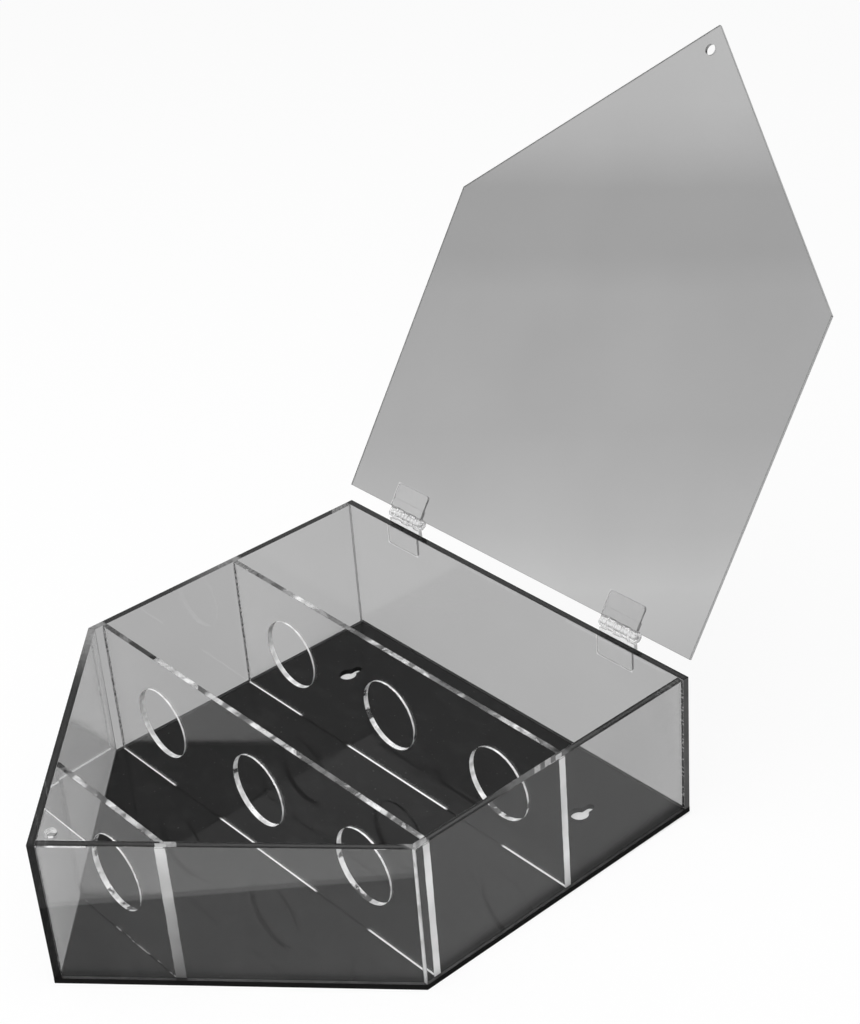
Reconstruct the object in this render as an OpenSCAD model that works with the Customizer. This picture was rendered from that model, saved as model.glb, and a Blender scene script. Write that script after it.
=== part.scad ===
// Five-sided display case for seven balls, shaped like a home plate: a black base
// sheet, clear walls and shelves, and a clear lid on two small leaf hinges.
// The origin is the middle of the footprint on the underside. The hinge edge is at
// the back, towards +Y, and the tip points to -Y. The lid is drawn open.

/* [Case] */
// Width of the case along the hinge edge
case_w = 267; // [230:1:320]
// How much farther out each shoulder corner stands than the hinge corner
shoulder_flare = 1.25; // [0:0.25:4]
// Depth from the back face to the shoulder corners
shoulder_d = 185.5; // [150:0.5:215]
// Depth from the back face to the tip
case_d = 310; // [296:1:350]
// Height from the underside to the rim
case_h = 86; // [82:0.5:110]
// Thickness of the five walls
wall_t = 4; // [3:0.5:6]
// Thickness of the base sheet
base_t = 3; // [2:0.5:6]

/* [Shelves] */
// Thickness of the shelves
shelf_t = 3; // [2:0.5:5]
// Clear depth of the bay next to the hinges; bays and tip share out the case's depth
upper_bay = 83.5; // [78:0.5:88]
// Clear depth of the middle bay
middle_bay = 85.5; // [78:0.5:88]
// Clear depth of the lower bay
lower_bay = 84; // [78:0.5:88]
// Depth from the lower shelf to the tip
tip_depth = 44; // [40:0.5:60]
// Diameter of the round ball seats
seat_d = 40.5; // [30:0.5:50]
// Height of the seats' centres over the base sheet
seat_rise = 40.5; // [35:0.5:48]
// Distance from the side walls to the outer seats' centres
seat_side = 45; // [35:0.5:55]

/* [Tip] */
// Thickness of the gusset in the tip
gusset_t = 3; // [2:0.5:5]
// Length of the gusset from the walls' inner corner to its free edge
gusset_len = 16.5; // [14:0.5:25]
// Diameter of the fastener holes in the lid and the gusset
fastener_d = 6; // [4:0.5:7]
// Distance from the tip to the fastener holes' centres
fastener_in = 13.8; // [13:0.1:16]

/* [Lid] */
// Thickness of the lid
lid_t = 2; // [1.5:0.5:5]
// How far the lid is open, from closed
lid_open = 123.9; // [95:0.1:135]

/* [Hinges] */
// Width of a hinge along its pin
hinge_w = 25.4; // [20:0.1:40]
// Length of the lid's leaves from the pin's axis
leaf_len = 17; // [13:0.5:25]
// Length of the wall's leaves from the pin's axis
wall_leaf_len = 19; // [13:0.5:25]
// Thickness of a leaf's plate
leaf_t = 1.5; // [1:0.1:2]
// Distance from a leaf's seat to the pin's axis
axis_off = 2.75; // [2.6:0.05:3.2]
// Radius of the knuckles
knuckle_r = 3.2; // [2.8:0.1:3.5]
// Diameter of the hinge pins
pin_d = 2.5; // [2:0.1:3.5]
// Distance from the left side of the case to the left hinge's centre
left_hinge_in = 47.5; // [30:0.5:70]
// Distance from the right side of the case to the right hinge's centre
right_hinge_in = 50.5; // [30:0.5:70]

/* [Keyholes] */
// Diameter of a keyhole's round end
keyhole_d = 10; // [8:0.5:12]
// Width of a keyhole's slot
keyhole_slot = 5; // [4.5:0.5:6]
// Distance from the round end's centre to the slot end's centre
keyhole_travel = 7.5; // [6:0.5:12]
// Distance from the side of the case to a keyhole's centre
keyhole_side = 40; // [30:0.5:60]
// Distance from the back face to a keyhole's round end
keyhole_back = 44; // [30:0.5:60]

/* [Hidden] */
$fn = 96;
over = 1; // how far a cut runs past the piece it cuts

black = [0.11, 0.11, 0.12];
clear = [0.72, 0.76, 0.78, 0.45];
clear_shelf = [0.80, 0.84, 0.86, 0.45];
clear_hinge = [0.88, 0.90, 0.91, 0.60];

// Clearances: lid over the rim, lid to the back face, between knuckles, and pin to lid knuckles
lid_gap = 0.2;
lid_back_gap = 0.3;
knuckle_gap = 0.3;
pin_gap = 0.06;

// Hinge leaf details: the thick root beside the knuckles and the free end's corners
root_t = 2.4;
root_len = 8;
leaf_corner_r = 2;
wall_knuckles = [1, 3];
lid_knuckles = [0, 2, 4];
knuckle_count = len(wall_knuckles) + len(lid_knuckles);
knuckle_w = (hinge_w - (knuckle_count - 1) * knuckle_gap) / knuckle_count;

// The outline runs clockwise from the left end of the hinge edge
back_y = case_d / 2;
shoulder_x = case_w / 2 + shoulder_flare;
outline = [
    [-case_w / 2, back_y],
    [case_w / 2, back_y],
    [shoulder_x, back_y - shoulder_d],
    [0, back_y - case_d],
    [-shoulder_x, back_y - shoulder_d]
];
back_edge = 0;
right_edge = 1;
front_right_edge = 2;
front_left_edge = 3;
left_edge = 4;

wall_h = case_h - base_t;
pin_y = back_y + axis_off;
pin_z = case_h + lid_gap + lid_t + axis_off;
fastener_y = back_y - case_d + fastener_in;
seat_x = case_w / 2 - wall_t - seat_side;

// The bays and the tip fill the case between the back wall and the tip, less the shelves
shelf_count = 3;
bays_fit = (case_d - wall_t - shelf_count * shelf_t) / (upper_bay + middle_bay + lower_bay + tip_depth);
upper_shelf_y = back_y - wall_t - upper_bay * bays_fit - shelf_t / 2;
middle_shelf_y = upper_shelf_y - shelf_t - middle_bay * bays_fit;
lower_shelf_y = middle_shelf_y - shelf_t - lower_bay * bays_fit;

// Direction at right angles to an edge, into the case
function inward(p, q) = [q.y - p.y, p.x - q.x] / norm(q - p);

// The edge of the outline with this number, moved into the case
function edge_at(i, depth) =
    let (p = outline[i], q = outline[(i + 1) % len(outline)], step = inward(p, q) * depth)
    [p + step, q + step];

// Where two edges cross, each moved into the case by its own depth
function meet(i, i_depth, j, j_depth) =
    let (
        a = edge_at(i, i_depth), b = edge_at(j, j_depth),
        u = a[1] - a[0], v = b[1] - b[0], w = b[0] - a[0]
    )
    a[0] + u * (w.x * v.y - w.y * v.x) / (u.x * v.y - u.y * v.x);

inner = [
    meet(left_edge, wall_t, back_edge, wall_t),
    meet(right_edge, wall_t, back_edge, wall_t),
    meet(right_edge, wall_t, front_right_edge, wall_t),
    meet(front_right_edge, wall_t, front_left_edge, wall_t),
    meet(front_left_edge, wall_t, left_edge, wall_t)
];
gusset_y = inner[3].y + gusset_len;

function knuckle_x(k) = (knuckle_w - hinge_w) / 2 + k * (knuckle_w + knuckle_gap);

// A flat sheet of this outline, lying at height z
module sheet(points, z, t) {
    translate([0, 0, z]) linear_extrude(t) polygon(points);
}

// A wall standing on the base sheet
module wall(points) {
    color(clear) sheet(points, base_t, wall_h);
}

// The room between the walls, from y_low to y_high and from z upwards by h
module between_walls(y_low, y_high, z, h) {
    intersection() {
        sheet(inner, z, h);
        translate([-case_w, y_low, z]) cube([2 * case_w, y_high - y_low, h]);
    }
}

// A cylinder along X, centred on the origin
module rod_x(r, length) {
    rotate([0, 90, 0]) cylinder(r = r, h = length, center = true);
}

// A cylinder standing on z, cut right through a sheet of thickness t
module drill(x, y, z, d, t) {
    translate([x, y, z - over]) cylinder(d = d, h = t + 2 * over);
}

// Turns a closed lid piece about the hinge pins to where the lid stands open
module opened() {
    translate([0, pin_y, pin_z]) rotate([-lid_open, 0, 0]) translate([0, -pin_y, -pin_z]) children();
}

module keyhole(x) {
    y = back_y - keyhole_back;
    drill(x, y, 0, keyhole_d, base_t);
    drill(x, y + keyhole_travel, 0, keyhole_slot, base_t);
    translate([x - keyhole_slot / 2, y, -over]) cube([keyhole_slot, keyhole_travel, base_t + 2 * over]);
}

module base_panel() {
    color(black) difference() {
        sheet(outline, 0, base_t);
        for (side = [-1, 1]) keyhole(side * (case_w / 2 - keyhole_side));
    }
}

module back_wall() {
    wall([
        outline[0], outline[1],
        meet(right_edge, 0, back_edge, wall_t), meet(left_edge, 0, back_edge, wall_t)
    ]);
}

module left_wall() {
    wall([meet(left_edge, 0, back_edge, wall_t), inner[0], inner[4], outline[4]]);
}

module right_wall() {
    wall([inner[1], meet(right_edge, 0, back_edge, wall_t), outline[2], inner[2]]);
}

module front_left_wall() {
    wall([inner[4], meet(front_right_edge, 0, front_left_edge, wall_t), outline[3], outline[4]]);
}

module front_right_wall() {
    wall([inner[2], outline[2], meet(front_right_edge, 0, front_left_edge, wall_t), inner[3]]);
}

// A shelf across the case with its middle at y and a ball seat at each x
module shelf(y, seats) {
    color(clear_shelf) difference() {
        between_walls(y - shelf_t / 2, y + shelf_t / 2, base_t, wall_h);
        for (x = seats)
            translate([x, y, base_t + seat_rise])
                rotate([90, 0, 0]) cylinder(d = seat_d, h = shelf_t + 2 * over, center = true);
    }
}

module upper_shelf() {
    shelf(upper_shelf_y, [-seat_x, 0, seat_x]);
}

module middle_shelf() {
    shelf(middle_shelf_y, [-seat_x, 0, seat_x]);
}

module lower_shelf() {
    shelf(lower_shelf_y, [0]);
}

module corner_gusset() {
    color(clear_shelf) difference() {
        between_walls(back_y - case_d, gusset_y, case_h - gusset_t, gusset_t);
        drill(0, fastener_y, case_h - gusset_t, fastener_d, gusset_t);
    }
}

module lid_panel() {
    color(clear) opened() difference() {
        sheet([
            meet(left_edge, 0, back_edge, lid_back_gap), meet(right_edge, 0, back_edge, lid_back_gap),
            outline[2], outline[3], outline[4]
        ], case_h + lid_gap, lid_t);
        drill(0, fastener_y, case_h + lid_gap, fastener_d, lid_t);
    }
}

// A leaf's plate, hanging down from the pin's axis, with its seat towards -Y
module leaf_plate(length) {
    translate([0, -axis_off, 0]) {
        translate([-hinge_w / 2, 0, leaf_corner_r - length]) cube([hinge_w, leaf_t, length - leaf_corner_r]);
        translate([leaf_corner_r - hinge_w / 2, 0, -length])
            cube([hinge_w - 2 * leaf_corner_r, leaf_t, leaf_corner_r]);
        for (side = [-1, 1])
            translate([side * (hinge_w / 2 - leaf_corner_r), 0, leaf_corner_r - length])
                rotate([-90, 0, 0]) cylinder(r = leaf_corner_r, h = leaf_t);
        translate([-hinge_w / 2, 0, -root_len]) cube([hinge_w, root_t, root_len]);
    }
}

// Room for a knuckle of the other leaf and for that leaf's root beside it
module knuckle_room(k) {
    room_w = knuckle_w + 2 * knuckle_gap;
    room_low = -(axis_off + knuckle_gap);
    translate([knuckle_x(k), 0, 0]) {
        rod_x(knuckle_r + knuckle_gap, room_w);
        translate([-room_w / 2, -axis_off - over, room_low]) cube([room_w, root_t + 2 * over, over - room_low]);
    }
}

// One leaf of a hinge, about the pin's axis, bored for the pin
module leaf(length, own, other, bore_r) {
    color(clear_hinge) difference() {
        union() {
            leaf_plate(length);
            for (k = own) translate([knuckle_x(k), 0, 0]) rod_x(knuckle_r, knuckle_w);
        }
        for (k = other) knuckle_room(k);
        rod_x(bore_r, hinge_w + 2 * over);
    }
}

module wall_leaf(x) {
    translate([x, pin_y, pin_z]) leaf(wall_leaf_len, wall_knuckles, lid_knuckles, pin_d / 2);
}

// The lid's leaf is the same form, with its seat turned from the wall to the lid
module lid_leaf(x) {
    opened() translate([x, pin_y, pin_z]) mirror([0, 1, -1])
        leaf(leaf_len, lid_knuckles, wall_knuckles, pin_d / 2 + pin_gap);
}

module hinge_pin(x) {
    color(clear_hinge) translate([x, pin_y, pin_z]) rod_x(pin_d / 2, hinge_w);
}

left_hinge_x = left_hinge_in - case_w / 2;
right_hinge_x = case_w / 2 - right_hinge_in;

module left_hinge_wall_leaf() {
    wall_leaf(left_hinge_x);
}

module left_hinge_lid_leaf() {
    lid_leaf(left_hinge_x);
}

module left_hinge_pin() {
    hinge_pin(left_hinge_x);
}

module right_hinge_wall_leaf() {
    wall_leaf(right_hinge_x);
}

module right_hinge_lid_leaf() {
    lid_leaf(right_hinge_x);
}

module right_hinge_pin() {
    hinge_pin(right_hinge_x);
}

base_panel();
back_wall();
left_wall();
right_wall();
front_left_wall();
front_right_wall();
upper_shelf();
middle_shelf();
lower_shelf();
corner_gusset();
lid_panel();
left_hinge_wall_leaf();
left_hinge_lid_leaf();
left_hinge_pin();
right_hinge_wall_leaf();
right_hinge_lid_leaf();
right_hinge_pin();
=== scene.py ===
import math

import bpy
from mathutils import Matrix, Vector


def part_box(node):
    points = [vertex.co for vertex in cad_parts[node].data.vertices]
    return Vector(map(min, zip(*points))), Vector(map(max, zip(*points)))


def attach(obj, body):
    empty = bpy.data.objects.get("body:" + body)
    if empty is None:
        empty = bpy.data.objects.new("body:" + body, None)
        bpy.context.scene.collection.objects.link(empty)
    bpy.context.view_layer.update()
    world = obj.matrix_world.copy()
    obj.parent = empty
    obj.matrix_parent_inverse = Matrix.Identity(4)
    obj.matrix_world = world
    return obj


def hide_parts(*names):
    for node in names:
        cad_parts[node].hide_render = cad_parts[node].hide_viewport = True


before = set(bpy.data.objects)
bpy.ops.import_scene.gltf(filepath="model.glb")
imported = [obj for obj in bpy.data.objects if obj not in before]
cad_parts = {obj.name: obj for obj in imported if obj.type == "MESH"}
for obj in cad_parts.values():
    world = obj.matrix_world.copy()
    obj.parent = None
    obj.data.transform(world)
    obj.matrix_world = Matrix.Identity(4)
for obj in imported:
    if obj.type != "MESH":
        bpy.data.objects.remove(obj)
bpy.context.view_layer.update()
bpy.ops.object.select_all(action="DESELECT")
print("frame loaded")

mm = 0.001
photo = {
    "place": (0.730617, -0.493762, 0.704786),
    "azimuth": 0.884739,
    "elevation": 0.529214,
    "roll": -0.079331,
    "focalPixels": 2109.22,
    "longSide": 1024,
    "sensorWidth": 36,
    "clipStart": 0.01,
    "clipEnd": 50,
}


# The camera stands where the photograph was taken from
def placeCamera():
    az, el, roll = photo["azimuth"], photo["elevation"], photo["roll"]
    forward = Vector((-math.sin(az) * math.cos(el), math.cos(az) * math.cos(el), -math.sin(el)))
    level = Vector((math.cos(az), math.sin(az), 0))
    above = level.cross(forward)
    right = math.cos(roll) * level + math.sin(roll) * above
    up = math.cos(roll) * above - math.sin(roll) * level
    turned = Matrix((right, up, -forward)).transposed()
    lens = bpy.data.cameras.new("photoCamera")
    lens.sensor_width = photo["sensorWidth"]
    lens.lens = photo["focalPixels"] * photo["sensorWidth"] / photo["longSide"]
    lens.clip_start, lens.clip_end = photo["clipStart"], photo["clipEnd"]
    camera = bpy.data.objects.new("photoCamera", lens)
    camera.matrix_world = Matrix.Translation(photo["place"]) @ turned.to_4x4()
    bpy.context.scene.collection.objects.link(camera)
    bpy.context.scene.camera = camera


placeCamera()
print("camera placed")


# A socket that takes part in sums; every sum adds its Math node
class Wire:
    def __init__(self, tree, socket=None):
        self.tree, self.socket = tree, socket

    # Adds a node: settings first, then the values or links of its sockets
    def node(self, kind, settings=None, sockets=None, out=0):
        made = self.tree.nodes.new(kind)
        for key, value in (settings or {}).items():
            if key == "stops":
                ramp = made.color_ramp
                while len(ramp.elements) < len(value):
                    ramp.elements.new(1)
                for stop, (place, tone) in zip(ramp.elements, value):
                    stop.position, stop.color = place, grey(tone)
            else:
                setattr(made, key, value)
        for key, value in (sockets or {}).items():
            if isinstance(value, Wire):
                self.tree.links.new(value.socket, made.inputs[key])
            else:
                made.inputs[key].default_value = value
        return Wire(self.tree, made.outputs[out]) if len(made.outputs) else None

    # The node's outputs, each as a wire
    def outputs(self, names):
        return [Wire(self.tree, self.socket.node.outputs[name]) for name in names]

    def maths(self, operation, first, second):
        return self.node("ShaderNodeMath", {"operation": operation}, {0: first, 1: second})

    def __add__(self, other):
        return self.maths("ADD", self, other)

    def __radd__(self, other):
        return self.maths("ADD", other, self)

    def __sub__(self, other):
        return self.maths("SUBTRACT", self, other)

    def __rsub__(self, other):
        return self.maths("SUBTRACT", other, self)

    def __mul__(self, other):
        return self.maths("MULTIPLY", self, other)

    def __rmul__(self, other):
        return self.maths("MULTIPLY", other, self)

    # The wire's value carried from one range to another, and kept inside it
    def between(self, low, high, to=0.0, end=1.0):
        sockets = {0: self, 1: low, 2: high, 3: to, 4: end}
        return self.node("ShaderNodeMapRange", {"clamp": True}, sockets)

    # One colour where the wire is 0 and the other where it is 1
    def blend(self, first, second):
        return self.node("ShaderNodeMix", {"data_type": "RGBA"}, {0: self, 6: first, 7: second}, out=2)

    # The wire's value as a grey
    def tone(self):
        return self.blend(grey(0), grey(1))


def grey(level):
    return level, level, level, 1


# Starts a material's node tree and gives back the material and a wire to build from
def startMaterial(name):
    made = bpy.data.materials.new(name)
    made.use_nodes = True
    made.node_tree.nodes.clear()
    return made, Wire(made.node_tree)


def finishWith(start, shader):
    start.node("ShaderNodeOutputMaterial", None, {"Surface": shader})


def noise(start, size, detail=2.0, stretch=(1, 1, 1), shift=(0, 0, 0)):
    place = start.node("ShaderNodeTexCoord", out=3)
    placed = start.node("ShaderNodeMapping", None, {0: place, 1: shift, 3: stretch})
    return start.node("ShaderNodeTexNoise", None, {"Vector": placed, "Scale": 1 / size, "Detail": detail})


# Noise spread over a range: where it starts and stops, and its value there
def patches(start, spread, **look):
    return noise(start, **look).between(*spread)


# A setting may be a number, the settings of patches, or a function that builds it
def valueOf(start, setting):
    if isinstance(setting, dict):
        return patches(start, **setting)
    return setting(start) if callable(setting) else setting


# The rays that go straight through a clear sheet: lamps' and bounced light
def lightRays(start):
    shadow, diffuse = start.node("ShaderNodeLightPath").outputs(["Is Shadow Ray", "Is Diffuse Ray"])
    return start.maths("MAXIMUM", shadow, diffuse)


# The three parts of the place of a point on its piece
def placeParts(start):
    place = start.node("ShaderNodeTexCoord", out=3)
    return start.node("ShaderNodeSeparateXYZ", None, {0: place}).outputs("XYZ")


clearSheet = {
    "ior": 1.49, "shine": 0.45,
    "clouds": {"size": 90 * mm, "spread": (0.3, 0.7, 0.97, 1.03)},
    "smears": {"size": 28 * mm, "detail": 3, "stretch": (1, 1, 0.4), "spread": (0.56, 0.75)},
    "smearRough": 0.03, "waveSize": 60 * mm, "waveDepth": 0.02,
}


# Clear acrylic: bends light, with faint clouds in its tone and smears on its polish.
# What is milky in it is a share of white
def clearAcrylic(name, tint, seed, milk=None, milkTone=None, rough=0, tones=None,
                 shine=clearSheet["shine"], ior=clearSheet["ior"]):
    made, start = startMaterial(name)
    clouds = patches(start, shift=(seed, 0, 0), **clearSheet["clouds"])
    smears = patches(start, shift=(seed, seed, 0), **clearSheet["smears"])
    waves = noise(start, clearSheet["waveSize"], 0, shift=(0, seed, 0))
    bump = start.node("ShaderNodeBump", None, {
        "Strength": clearSheet["waveDepth"], "Distance": mm, "Height": waves})
    sheet = start.node("ShaderNodeBsdfPrincipled", None, {
        "Base Color": (clouds * (tones(start) if tones else tint)).tone(),
        "Roughness": smears * clearSheet["smearRough"] + rough, "IOR": ior,
        "Transmission Weight": 1.0, "Specular Tint": grey(shine), "Normal": bump,
    })
    passing = start.node("ShaderNodeBsdfTransparent", None, {"Color": grey(math.sqrt(tint))})
    clear = start.node("ShaderNodeMixShader", None, {0: lightRays(start), 1: sheet, 2: passing})
    if milk is not None:
        white = valueOf(start, milkTone)
        matte = start.node("ShaderNodeBsdfPrincipled", None, {
            "Base Color": white.tone() if isinstance(white, Wire) else grey(white),
            "Roughness": 1.0, "Specular IOR Level": 0.0})
        clear = start.node("ShaderNodeMixShader", None, {0: valueOf(start, milk), 1: clear, 2: matte})
    finishWith(start, clear)
    return made


blackSheet = {
    "tone": 0.013, "smearTone": 0.02, "speckTone": 0.05, "sawnTone": 0.008,
    "rough": 0.04, "smearRough": 0.2, "sawnRough": 0.5, "ior": 1.28, "shine": 0.8,
    "smears": {"size": 22 * mm, "detail": 4, "stretch": (1, 1.6, 1), "spread": (0.52, 0.75)},
    "specks": {"size": 1.6 * mm, "detail": 0, "spread": (0.8, 0.84)},
    "sawnFacing": (0.3, 0.7),
}


# Black acrylic sheet: a deep gloss with smears and dust specks, and dull sawn sides
def blackAcrylic():
    made, start = startMaterial("blackAcrylic")
    smears = patches(start, **blackSheet["smears"])
    specks = patches(start, **blackSheet["specks"])
    tone = smears.blend(grey(blackSheet["tone"]), grey(blackSheet["smearTone"]))
    normal = start.node("ShaderNodeNewGeometry", out=1)
    facing = start.node("ShaderNodeSeparateXYZ", None, {0: normal}, out=2)
    sawn = facing.between(*blackSheet["sawnFacing"], 1, 0)
    rough = smears.between(0, 1, blackSheet["rough"], blackSheet["smearRough"])
    specked = specks.blend(tone, grey(blackSheet["speckTone"]))
    finishWith(start, start.node("ShaderNodeBsdfPrincipled", None, {
        "Base Color": sawn.blend(specked, grey(blackSheet["sawnTone"])),
        "IOR": blackSheet["ior"], "Specular Tint": grey(blackSheet["shine"]),
        "Roughness": rough + sawn * blackSheet["sawnRough"],
    }))
    return made


blackJoint = {
    "uneven": {"size": 5 * mm, "detail": 3, "spread": (0.4, 0.7)},
    "tones": (0.004, 0.02), "rough": (0.3, 0.5),
}


# The black cement under the walls, uneven where it was drawn in
def blackCement():
    made, start = startMaterial("blackCement")
    uneven = patches(start, **blackJoint["uneven"])
    darker, lighter = blackJoint["tones"]
    finishWith(start, start.node("ShaderNodeBsdfPrincipled", None, {
        "Base Color": uneven.blend(grey(darker), grey(lighter)),
        "Roughness": uneven.between(0, 1, *blackJoint["rough"]),
    }))
    return made


def dress(node, finish):
    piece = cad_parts[node]
    piece.data.materials.clear()
    piece.data.materials.append(finish)


dress("base_panel", blackAcrylic())

easing = {
    "air": 0.03 * mm, "edge": 0.15 * mm, "steps": 2, "weld": 0.001 * mm,
    "flat": math.radians(0.5), "sharp": math.radians(35), "round": math.radians(10),
}
upward = 0.9  # a face looks up where its normal's Z is more than this
broadEnd = 50 * mm * mm  # a sheet's end is larger than this, and its eased edges are smaller


def startOn(piece):
    bpy.ops.object.select_all(action="DESELECT")
    piece.select_set(True)
    bpy.context.view_layer.objects.active = piece


# A finished copy of a CAD piece: its edges eased, and a hair of air where it meets its
# neighbours. An inlay gives the middle of its upward faces a finish of their own
def easedCopy(node, body, finishes, edge=easing["edge"], inlay=None):
    piece = bpy.data.objects.new(node + "_polished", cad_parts[node].data.copy())
    bpy.context.scene.collection.objects.link(piece)
    piece.data.materials.clear()
    for finish in finishes:
        piece.data.materials.append(finish)
    startOn(piece)
    if piece.data.has_custom_normals:
        bpy.ops.mesh.customdata_custom_splitnormals_clear()
    bpy.ops.object.mode_set(mode="EDIT")
    bpy.ops.mesh.select_mode(type="FACE")
    bpy.ops.mesh.select_all(action="SELECT")
    bpy.ops.mesh.remove_doubles(threshold=easing["weld"])
    bpy.ops.mesh.dissolve_limited(angle_limit=easing["flat"])
    bpy.ops.transform.shrink_fatten(value=-easing["air"], use_even_offset=True)
    bpy.ops.mesh.select_all(action="DESELECT")
    bpy.ops.object.mode_set(mode="OBJECT")
    if inlay:
        for face in piece.data.polygons:
            face.select = face.normal.z > upward
        piece.active_material_index = inlay["slot"]
        bpy.ops.object.mode_set(mode="EDIT")
        bpy.ops.mesh.inset(thickness=inlay["margin"], use_even_offset=True)
        bpy.ops.object.material_slot_assign()
        bpy.ops.object.mode_set(mode="OBJECT")
    bevel = piece.modifiers.new("easedEdge", "BEVEL")
    bevel.width, bevel.segments = edge, easing["steps"]
    bevel.limit_method, bevel.angle_limit = "ANGLE", easing["sharp"]
    bpy.ops.object.modifier_apply(modifier=bevel.name)
    bpy.ops.object.shade_smooth_by_angle(angle=easing["round"])
    piece.select_set(False)
    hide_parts(node)
    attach(piece, body)
    return piece


# Painted light: how much clearer a sheet's tint is made where the left and the right hinge's leaf lie on it,
# so the leaves show lighter
def paintedLeafLight(start, leaf, gains, soft=0.4 * mm):
    x, _, z = placeParts(start)
    total = 0
    for side, gain in zip(("left", "right"), gains):
        low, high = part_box(side + leaf)
        across = x.between(low.x - soft, low.x) * x.between(high.x, high.x + soft, 1, 0)
        along = z.between(low.z - soft, low.z) * z.between(high.z, high.z + soft, 1, 0)
        total = across * along * gain + total
    return total


# Painted light and shade: the walls are one clear acrylic, yet the far walls get a dark grey tint as painted
# shade and the near walls a clearer tint as painted light, with a stronger mirror
wallLook = {
    "near": 0.9, "nearShine": 1.0, "nearIor": 1.6, "far": 0.5, "leafGains": (0.45, 0.45),
    "leftTurn": (62 * mm, 70 * mm), "leftShares": (0.87, 0.95),
    "tipTurn": (-145 * mm, -100 * mm), "tipShares": (1.1, 1),
    "rimMargin": 1.3 * mm, "footReach": 0.3 * mm, "shoulderReach": 4 * mm,
    "broadFacing": 0.98, "endFacing": 0.95,
}


# The back wall's dark tint, with painted light where the hinges' wall leaves lie on it
def backTones(start):
    return wallLook["far"] + paintedLeafLight(start, "_hinge_wall_leaf", wallLook["leafGains"])


# Painted shade: the left wall is a little darker below the upper shelf
def leftShadedTones(start):
    _, y, _ = placeParts(start)
    return y.between(*wallLook["leftTurn"], *[wallLook["far"] * share for share in wallLook["leftShares"]])


# Painted light: the front left wall is lighter at the tip
def tipLitTones(start):
    _, y, _ = placeParts(start)
    return y.between(*wallLook["tipTurn"], *[wallLook["far"] * share for share in wallLook["tipShares"]])


# Each band is the middle of a shelf's end along Y, and how far its cement and painted light reach
shelfCementAndLight = {
    "near": ((66 * mm, 2 * mm), (-22.5 * mm, 2 * mm), (-109.2 * mm, 1.8 * mm)),
    "far": ((66 * mm, 1.7 * mm), (-22.5 * mm, 1.7 * mm), (-109.5 * mm, 1.4 * mm)),
    "top": 84 * mm, "soft": 0.15 * mm,
    "wave": {"size": 7 * mm, "detail": 3, "spread": (0.3, 0.7, -0.12 * mm, 0.12 * mm)},
    "nearTone": {"size": 30 * mm, "spread": (0.35, 0.65, 0.65, 1)},
    "dimFrom": 10 * mm, "dimBelow": (-100 * mm, -98 * mm), "dimShare": 0.74,
    "farShare": 0.6, "farTone": {"size": 3 * mm, "detail": 1, "spread": (0.45, 0.55, 0.03, 0.3)},
}


# Upright bands with wavy sides beside each shelf's end: cement that stands out, with painted light standing
# in for light carried along the shelf into the wall
def cementAndLightBands(start, bands):
    _, y, z = placeParts(start)
    wave = patches(start, **shelfCementAndLight["wave"])
    soft, top = shelfCementAndLight["soft"], shelfCementAndLight["top"]
    total = 0
    for middle, reach in bands:
        away = start.maths("ABSOLUTE", y - middle, 0) + wave
        total = away.between(reach - soft, reach + soft, 1, 0) + total
    return total * z.between(top - mm, top, 1, 0)


# The bands' white, darker towards the bottom beside the lower shelf
def cementAndLightTone(start):
    _, y, z = placeParts(start)
    climb = z.between(shelfCementAndLight["dimFrom"], shelfCementAndLight["top"])
    beside = y.between(*shelfCementAndLight["dimBelow"], 1, 0)
    dimmer = beside * (1 - climb * climb) * shelfCementAndLight["dimShare"]
    return patches(start, **shelfCementAndLight["nearTone"]) * (1 - dimmer)


mitreLook = {"tone": 0.8, "heights": (15 * mm, 85 * mm), "fades": (0.75, 0.3)}


# The mitre's cement is white, and at the left shoulder it fades downwards
def mitreTone(start):
    x, _, z = placeParts(start)
    fade = z.between(*mitreLook["heights"], *mitreLook["fades"])
    return mitreLook["tone"] - x.between(-mm, mm, 1, 0) * fade


# The near rims are clearer, shinier and paler along the middle than the far rims: painted light and shade
rimLook = {
    "nearRim": {"tint": 0.5, "lineLight": 0.12, "shine": 0.45},
    "farRim": {"tint": 0.33, "lineLight": 0.05, "shine": 0.2},
    "seed": 2.0, "tone": 0.3, "cornerHigh": -22 * mm, "cornerLow": -31 * mm, "fadeLeft": -66 * mm,
    "fadeRight": -34 * mm, "shelfLow": 15 * mm, "shelfHigh": 66 * mm, "shelfHighRight": 32 * mm,
    "shelfEnd": (69 * mm, 72 * mm), "rightShare": 0.7, "line": (-130 * mm, 130 * mm, 0.25, 1.4),
    "patches": {"size": 4 * mm, "spread": (0.3, 0.6, 0.45, 0.8)},
}


# Painted light: white at the shoulder corners and beside the upper shelf's ends, standing in for light
# reflected inside the rim, and a faint painted light along its middle that grows to the right
def rimPaintedLight(start, least):
    x, y, _ = placeParts(start)
    corner = y.between(rimLook["cornerHigh"], rimLook["cornerHigh"] + mm, 1, 0)
    fade = x.between(-mm, mm, rimLook["fadeLeft"], rimLook["fadeRight"])
    near = y.between(fade, rimLook["cornerLow"])
    full = x.between(-mm, mm, rimLook["shelfHigh"], rimLook["shelfHighRight"])
    share = x.between(-mm, mm, 1, rimLook["rightShare"])
    atShelf = share * y.between(rimLook["shelfLow"], full) * y.between(*rimLook["shelfEnd"], 1, 0)
    milky = (corner * near * near + atShelf * atShelf) * patches(start, **rimLook["patches"])
    return start.maths("MAXIMUM", milky, x.between(*rimLook["line"]) * least)


# A rim's finishes: its middle line with painted light along it, and its edge; both carry the painted light at
# the corners and shelves
def rimPair(name):
    look = rimLook[name]
    pair = []
    for part, least in (("Line", look["lineLight"]), ("Edge", 0)):
        pair.append(clearAcrylic(
            name + part, look["tint"], rimLook["seed"], lambda start: rimPaintedLight(start, least), rimLook["tone"],
            shine=look["shine"]))
    return pair


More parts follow.
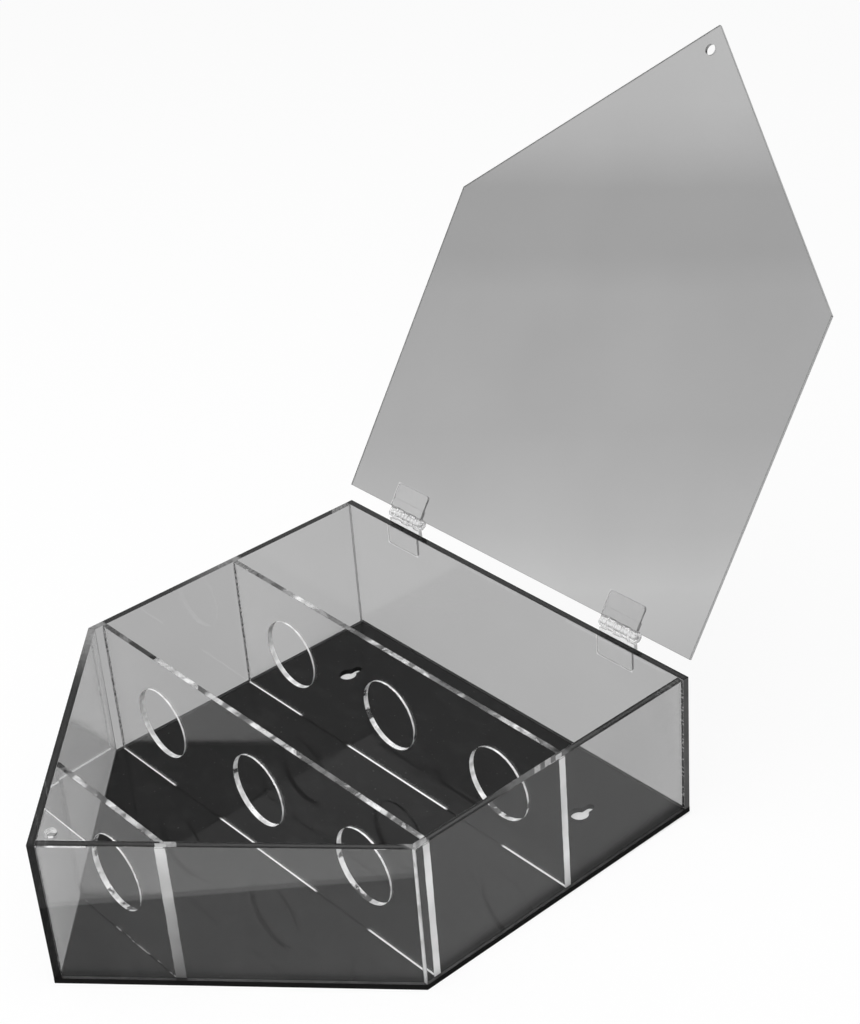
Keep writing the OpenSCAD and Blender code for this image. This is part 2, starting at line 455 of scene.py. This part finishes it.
mirroring = {"shine": wallLook["nearShine"], "ior": wallLook["nearIor"]}
# The near walls' bands: cement with painted light
nearCementLit = {"milk": lambda start: cementAndLightBands(start, shelfCementAndLight["near"]), "milkTone": cementAndLightTone}
# Painted shade: the far walls' bands are dimmer and darker than the near walls'
farCementShaded = {
    "milk": lambda start: cementAndLightBands(start, shelfCementAndLight["far"]) * shelfCementAndLight["farShare"],
    "milkTone": shelfCementAndLight["farTone"],
}
wallFinishes = {
    "wallAcrylic": {"tint": wallLook["far"], "seed": 0},
    "backWallAcrylic": {"tint": wallLook["far"], "seed": 1, "tones": backTones},
    "nearWallAcrylic": {"tint": wallLook["near"], "seed": 2, **mirroring},
    "nearWallBands": {"tint": wallLook["near"], "seed": 2, **mirroring, **nearCementLit},
    "leftWallAcrylic": {"tint": wallLook["far"], "seed": 2, "tones": leftShadedTones},
    "leftWallBands": {"tint": wallLook["far"], "seed": 2, "tones": leftShadedTones, **farCementShaded},
    "tipWallAcrylic": {"tint": wallLook["far"], "seed": 2, "tones": tipLitTones},
    "tipWallBands": {"tint": wallLook["far"], "seed": 2, "tones": tipLitTones, **farCementShaded},
    "mitreCement": {
        "tint": 0.9, "seed": 2.5, "milk": {"size": 10 * mm, "spread": (0.35, 0.5, 0.6, 1)},
        "milkTone": mitreTone},
    "paleJoint": {
        "tint": 0.5, "seed": 2.6, "milk": 0.85,
        "milkTone": {"size": 10 * mm, "spread": (0.3, 0.7, 0.55, 0.7)}},
    "jointCement": {
        "tint": 0.5, "seed": 2.7, "milk": 0.95,
        "milkTone": {
            "size": 1.3 * mm, "detail": 0, "stretch": (0.25, 0.25, 1), "spread": (0.6, 0.68, 0.01, 0.3)}},
    "sawnWallEnd": {
        "tint": 0.5, "seed": 2.8, "milk": 0.95,
        "milkTone": {"size": 12 * mm, "detail": 3, "spread": (0.3, 0.7, 0.08, 0.11)}},
}
finishes = {name: clearAcrylic(name, **look) for name, look in wallFinishes.items()}
rims = {name: rimPair(name) for name in ("nearRim", "farRim")}
foot = blackCement()
shoulderY = -30.5 * mm


# A wall is polished outside. Its inner face carries the shelves' cement bands with their painted light, its
# foot black cement, its ends the mitre's or a joint's cement, and its rim a paler line of painted light along
# the middle
def finishWall(wall, rim, polish, inner, end, endSide):
    slots = [finishes[polish], foot] + rims[rim] + [finishes[inner], finishes["mitreCement"], finishes[end]]
    inlay = {"slot": 2, "margin": wallLook["rimMargin"]}
    piece = easedCopy(wall, "case", slots, inlay=inlay)
    faces = piece.data.polygons
    outward = max(faces, key=lambda face: face.area * (abs(face.normal.z) < 0.1)).normal.copy()
    if outward.dot(sum((face.center * face.area for face in faces), Vector())) < 0:
        outward.negate()
    for face in faces:
        along = face.normal.dot(outward)
        if face.center.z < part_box(wall)[0].z + wallLook["footReach"]:
            face.material_index = 1
        elif face.normal.z > upward:
            face.material_index = 2 if face.material_index == 2 else 3
        elif along < -wallLook["broadFacing"]:
            face.material_index = 4
        elif abs(along) < wallLook["endFacing"] and abs(face.normal.z) < 0.3 and face.area > broadEnd:
            atShoulder = abs(face.center.y - shoulderY) < wallLook["shoulderReach"]
            face.material_index = 5 if atShoulder else 6 if face.center.x * endSide > 0 else 0


for settings in (
        ("back_wall", "farRim", "backWallAcrylic", "wallAcrylic", "sawnWallEnd", 1),
        ("left_wall", "farRim", "leftWallAcrylic", "leftWallBands", "paleJoint", -1),
        ("front_left_wall", "farRim", "tipWallAcrylic", "tipWallBands", "wallAcrylic", 1),
        ("right_wall", "nearRim", "nearWallAcrylic", "nearWallBands", "jointCement", 1),
        ("front_right_wall", "nearRim", "nearWallAcrylic", "nearWallBands", "jointCement", 1)):
    finishWall(*settings)

lidLook = {
    "tint": 0.42, "seed": 3, "low": 50 * mm, "high": 360 * mm, "slope": 0.38, "spread": 0.6,
    "leafGains": (0.4, 0.12),
    "stops": [(0, 0.48), (0.11, 0.54), (0.2, 0.47), (0.36, 0.395), (0.57, 0.385), (0.63, 0.35), (0.73, 0.345),
              (0.8, 0.43), (0.86, 0.475), (1, 0.5)],
    "edge": {"seed": 3.5, "milk": 0.85, "milkTone": 0.5},
}


# Painted reflection: the lid's tint lies in soft slanting bands standing in for the surroundings mirrored in
# it, darkest two thirds of the way up
def lidReflectionTones(start):
    x, _, z = placeParts(start)
    slanting = (z - x * lidLook["slope"]) * (1 + x * lidLook["spread"])
    climb = slanting.between(lidLook["low"], lidLook["high"])
    return start.node("ShaderNodeValToRGB", {"stops": lidLook["stops"]}, {0: climb})


# The lid's outer face: the painted reflection bands, with painted light where the hinges' leaves lie on it
def outerLidPaintedTones(start):
    return lidReflectionTones(start) + paintedLeafLight(start, "_hinge_lid_leaf", lidLook["leafGains"])


lidSlots = [
    clearAcrylic("lidAcrylic", lidLook["tint"], lidLook["seed"], tones=outerLidPaintedTones),
    clearAcrylic("lidSawnEdge", lidLook["tint"], **lidLook["edge"]),
    clearAcrylic("lidInnerAcrylic", lidLook["tint"], lidLook["seed"], tones=lidReflectionTones),
]
lid = easedCopy("lid_panel", "lid", lidSlots)
lidFacing = max(lid.data.polygons, key=lambda face: face.area).normal.copy()
leafLow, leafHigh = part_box("left_hinge_lid_leaf")
for face in lid.data.polygons:
    if abs(face.normal.dot(lidFacing)) < 0.5 and face.area > broadEnd:
        face.material_index = 1
    elif face.normal.dot((leafLow + leafHigh) / 2 - face.center) < 0:
        face.material_index = 2
print("walls and lid finished")

shelfLook = {
    "tint": 0.97, "shine": 0.3, "edgeTint": 0.9,
    "seatZ": 43.5 * mm, "seatReach": 21 * mm, "endReach": 5 * mm, "skin": 0.3 * mm,
    "broadFacing": 0.75, "gussetFacing": 0.9,
    "sawn": {"size": 14 * mm, "detail": 3, "shift": (3, 1, 0)},
    "sawnStops": [(0.36, 0.04), (0.43, 0.22), (0.56, 0.27), (0.62, 0.8)],
    "darkEnd": (-70 * mm, -55 * mm, 0.7, 0),
    "seamReach": 130.5 * mm,
    "seamStops": [(0.183, 1), (0.19, 0.02), (0.343, 0.02), (0.35, 1),
                  (0.656, 1), (0.663, 0.02), (0.815, 0.02), (0.822, 1)],
    "seatGaps": {"size": 7 * mm, "detail": 3, "spread": (0.4, 0.47, 0.1, 1)},
    "wholeSeats": (-60 * mm, -50 * mm, 0.9, 0),
}


# Saw marks along an edge: a middle tone, broken by dark and by bright patches, and
# darker at the middle shelf's left end
def sawnTone(start):
    x, y, _ = placeParts(start)
    sawn = noise(start, **shelfLook["sawn"])
    marks = start.node("ShaderNodeValToRGB", {"stops": shelfLook["sawnStops"]}, {0: sawn})
    return marks * (1 - y.between(-mm, mm, 1, 0) * x.between(*shelfLook["darkEnd"]))


# The cement under a shelf is white, with painted shade in two long stretches that stay dark
def seamTone(start):
    x, _, _ = placeParts(start)
    along = x.between(-shelfLook["seamReach"], shelfLook["seamReach"])
    return start.node("ShaderNodeValToRGB", {"stops": shelfLook["seamStops"]}, {0: along})


# A seat's sawn edge is broken by clear gaps, but whole in the seats to the left
def seatMilk(start):
    x, _, _ = placeParts(start)
    broken = patches(start, **shelfLook["seatGaps"])
    return start.maths("MAXIMUM", broken, x.between(*shelfLook["wholeSeats"]))


shelfFinishes = {
    "sawnEnd": {"seed": 8, "milk": {"size": 30 * mm, "spread": (0.3, 0.7, 0.85, 1)}, "milkTone": 0.95},
    "shelfTopEdge": {
        "seed": 9, "milk": {"size": 9 * mm, "spread": (0.4, 0.6, 0.35, 0.8)}, "milkTone": sawnTone},
    "seatEdge": {
        "seed": 9.5, "milk": seatMilk,
        "milkTone": {"size": 5 * mm, "detail": 1, "shift": (5, 0, 0), "spread": (0.35, 0.65, 0.6, 1)}},
    # Painted shade: the shelves' left sawn ends are darker than the right ones
    "shadedSawnFarEnd": {
        "seed": 8.5, "milk": 0.8,
        "milkTone": {"size": 2 * mm, "detail": 1, "spread": (0.4, 0.58, 0.05, 0.5)}},
    "shelfSeam": {"seed": 9.7, "milk": 1.0, "milkTone": seamTone},
    "darkSeam": {
        "seed": 9.8, "milk": 1.0,
        "milkTone": {"size": 8 * mm, "detail": 3, "spread": (0.53, 0.62, 0.004, 0.35)}},
}
for name, look in shelfFinishes.items():
    finishes[name] = clearAcrylic(name, shelfLook["edgeTint"], **look)
finishes["shelfAcrylic"] = clearAcrylic("shelfAcrylic", shelfLook["tint"], 7, shine=shelfLook["shine"])


# Each face of a shelf takes its own finish: polished, top edge, seat, sawn end or cemented seam
def finishShelf(shelf, seam):
    names = ("shelfAcrylic", "shelfTopEdge", "seatEdge", "sawnEnd", seam, "shadedSawnFarEnd")
    piece = easedCopy(shelf, "case", [finishes[name] for name in names])
    low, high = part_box(shelf)
    for face in piece.data.polygons:
        middle = face.center
        toEnd = min(middle.x - low.x, high.x - middle.x)
        if abs(face.normal.y) > shelfLook["broadFacing"]:
            continue
        if high.z - middle.z < shelfLook["skin"]:
            face.material_index = 1
        elif middle.z - low.z < shelfLook["skin"]:
            face.material_index = 4
        elif abs(middle.z - shelfLook["seatZ"]) < shelfLook["seatReach"] and toEnd > shelfLook["endReach"]:
            face.material_index = 2
        else:
            face.material_index = 3 if middle.x > 0 else 5


finishShelf("upper_shelf", "shelfSeam")
finishShelf("middle_shelf", "shelfSeam")
finishShelf("lower_shelf", "darkSeam")
gusset = easedCopy("corner_gusset", "case", [finishes["shelfAcrylic"], finishes["sawnEnd"]])
for face in gusset.data.polygons:
    atBack = face.center.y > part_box("corner_gusset")[1].y - shelfLook["skin"]
    if atBack and face.normal.y > shelfLook["gussetFacing"]:
        face.material_index = 1
print("shelves and gusset finished")

hingeLook = {
    "face": {"tint": 0.97, "seed": 11, "milk": 0.15, "milkTone": 0.9, "rough": 0.02},
    "side": {"tint": 0.97, "seed": 11.5, "milk": 0.4, "milkTone": 0.95, "rough": 0.02},
    "edge": 0.1 * mm, "knuckleReach": 5.5 * mm, "broadFacing": 0.97,
}
hingeFinish = clearAcrylic("hingePlastic", **hingeLook["face"])
hingeEdgeHighlight = clearAcrylic("hingeEdgeHighlight", **hingeLook["side"])


# Painted highlight: a leaf's edges are whiter than its faces, standing in for the shine on its polished edges
def finishHinge(leaf, body, facing, pin):
    piece = easedCopy(leaf, body, [hingeFinish, hingeEdgeHighlight], hingeLook["edge"])
    for face in piece.data.polygons:
        away = face.center - pin
        broad = abs(face.normal.dot(facing)) > hingeLook["broadFacing"]
        if not broad and math.hypot(away.y, away.z) > hingeLook["knuckleReach"]:
            face.material_index = 1


for side in ("left", "right"):
    pinLow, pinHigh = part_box(side + "_hinge_pin")
    finishHinge(side + "_hinge_wall_leaf", "case", Vector((0, 1, 0)), (pinLow + pinHigh) / 2)
    finishHinge(side + "_hinge_lid_leaf", "lid", lidFacing, (pinLow + pinHigh) / 2)
    easedCopy(side + "_hinge_pin", "case", [hingeFinish], hingeLook["edge"])
print("finishes applied")

stageSet = {
    "size": 12, "albedo": 0.88, "whiteShare": 0.88, "whiteReach": (0.3, 1.5), "ambient": 0.55,
    "underCase": 0.3,
    "boardStart": (20.5 * mm, -210 * mm), "boardTurn": math.radians(34.6),
    "mirroredAlbedo": (0.3, 0.4), "albedoTurn": (-120 * mm, -40 * mm),
    "shadeTone": 0.02, "shadeReach": (3 * mm, 10 * mm), "greyReach": (145 * mm, 260 * mm),
    "greySlope": 0.4, "backSlope": 1.2, "backFade": 80 * mm,
}


# The rays that see the white of the stage, and those that a mirror turned on their way
def seenRays(start):
    camera, glossy, through, turns = start.node("ShaderNodeLightPath").outputs([
        "Is Camera Ray", "Is Glossy Ray", "Is Transmission Ray", "Glossy Depth"])
    return start.maths("MAXIMUM", start.maths("MAXIMUM", camera, glossy), through), turns.between(0, 1)


# How far a point of the floor lies outside the base, which is negative under it
def outsideBase(start, x, y):
    low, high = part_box("base_panel")
    beside = start.maths("ABSOLUTE", x, 0) - high.x
    slant = math.hypot(high.x, shoulderY - low.y)
    before = beside * ((shoulderY - low.y) / slant) + (shoulderY - y) * (high.x / slant)
    return start.maths("MAXIMUM", start.maths("MAXIMUM", beside, before), y - high.y)


# Painted reflection: the grey part of the floor, which only mirrored rays see; it ends at a white board in
# front and fades out behind the case
def greyFloorInMirrors(x, y, outside):
    low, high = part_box("base_panel")
    startX, startY = stageSet["boardStart"]
    turn = stageSet["boardTurn"]
    across = (x - startX) * math.sin(turn) - (y - startY) * math.cos(turn)
    rightward = (x - (y - low.y) * stageSet["greySlope"]).between(-mm, mm)
    aside = (x - high.x - (y - high.y) * stageSet["backSlope"]).between(-stageSet["backFade"], 0)
    behind = y.between(high.y, high.y + mm)
    reached = across.between(-mm, mm, 1, 0) * outside.between(*stageSet["greyReach"], 1, 0) * rightward
    return reached * (1 - behind * (1 - aside))


# Under the case the floor is in its shade, which shows in the keyholes. The near walls mirror a painted
# reflection: a white board and a grey floor beside them that only mirrors see, darkest in the case's own
# painted shade
def layFloor():
    bpy.ops.mesh.primitive_plane_add(size=stageSet["size"])
    floor = bpy.context.active_object
    floor.name = "floor"
    made, start = startMaterial("floorWhite")
    x, y, _ = placeParts(start)
    outside = outsideBase(start, x, y)
    shade = outside.between(*stageSet["shadeReach"], 1, 0)
    seen, mirrored = seenRays(start)
    duller = mirrored * start.maths("MAXIMUM", greyFloorInMirrors(x, y, outside), shade)
    nearWhite = outside.between(-mm, 0, stageSet["underCase"], stageSet["whiteShare"])
    farWhite = outside.between(*stageSet["whiteReach"])
    share = start.maths("MAXIMUM", nearWhite, farWhite) * seen * (1 - duller)
    mirroredTone = y.between(*stageSet["albedoTurn"], *stageSet["mirroredAlbedo"])
    dull = shade * stageSet["shadeTone"] + (1 - shade) * mirroredTone
    tone = (duller * dull + (1 - duller) * stageSet["albedo"]).tone()
    matte = start.node("ShaderNodeBsdfDiffuse", None, {"Color": tone})
    glow = start.node("ShaderNodeEmission", None, {"Color": grey(1), "Strength": 1.0})
    finishWith(start, start.node("ShaderNodeMixShader", None, {0: share, 1: matte, 2: glow}))
    floor.data.materials.append(made)
    bpy.ops.object.select_all(action="DESELECT")


def lightWorld():
    world = bpy.data.worlds.new("studio")
    bpy.context.scene.world = world
    world.use_nodes = True
    world.node_tree.nodes.clear()
    start = Wire(world.node_tree)
    level = seenRays(start)[0].between(0, 1, stageSet["ambient"], 1)
    back = start.node("ShaderNodeBackground", None, {"Color": grey(1), "Strength": level})
    start.node("ShaderNodeOutputWorld", None, {"Surface": back})


lamps = {
    "above": {"place": (0.1, -0.3, 1.7), "aim": (0, 0, 0), "size": 1.6, "power": 16},
    "left": {"place": (-1.3, -0.9, 1.1), "aim": (0, 0, 0.1), "size": 1.8, "power": 7},
    "right": {"place": (1.5, -1.2, 1.0), "aim": (0, 0, 0.05), "size": 1.8, "power": 9},
}


def hangLamps():
    for name, lamp in lamps.items():
        light = bpy.data.lights.new(name, "AREA")
        light.size, light.energy = lamp["size"], lamp["power"]
        hung = bpy.data.objects.new(name, light)
        aim = Vector(lamp["aim"]) - Vector(lamp["place"])
        hung.rotation_euler = aim.to_track_quat("-Z", "Y").to_euler()
        hung.location = lamp["place"]
        hung.visible_glossy = hung.visible_transmission = False
        bpy.context.scene.collection.objects.link(hung)


layFloor()
lightWorld()
hangLamps()
bpy.context.scene.view_settings.view_transform = "Standard"
cycles = bpy.context.scene.cycles
cycles.max_bounces = cycles.transmission_bounces = cycles.transparent_max_bounces = 32
print("stage and lamps set")
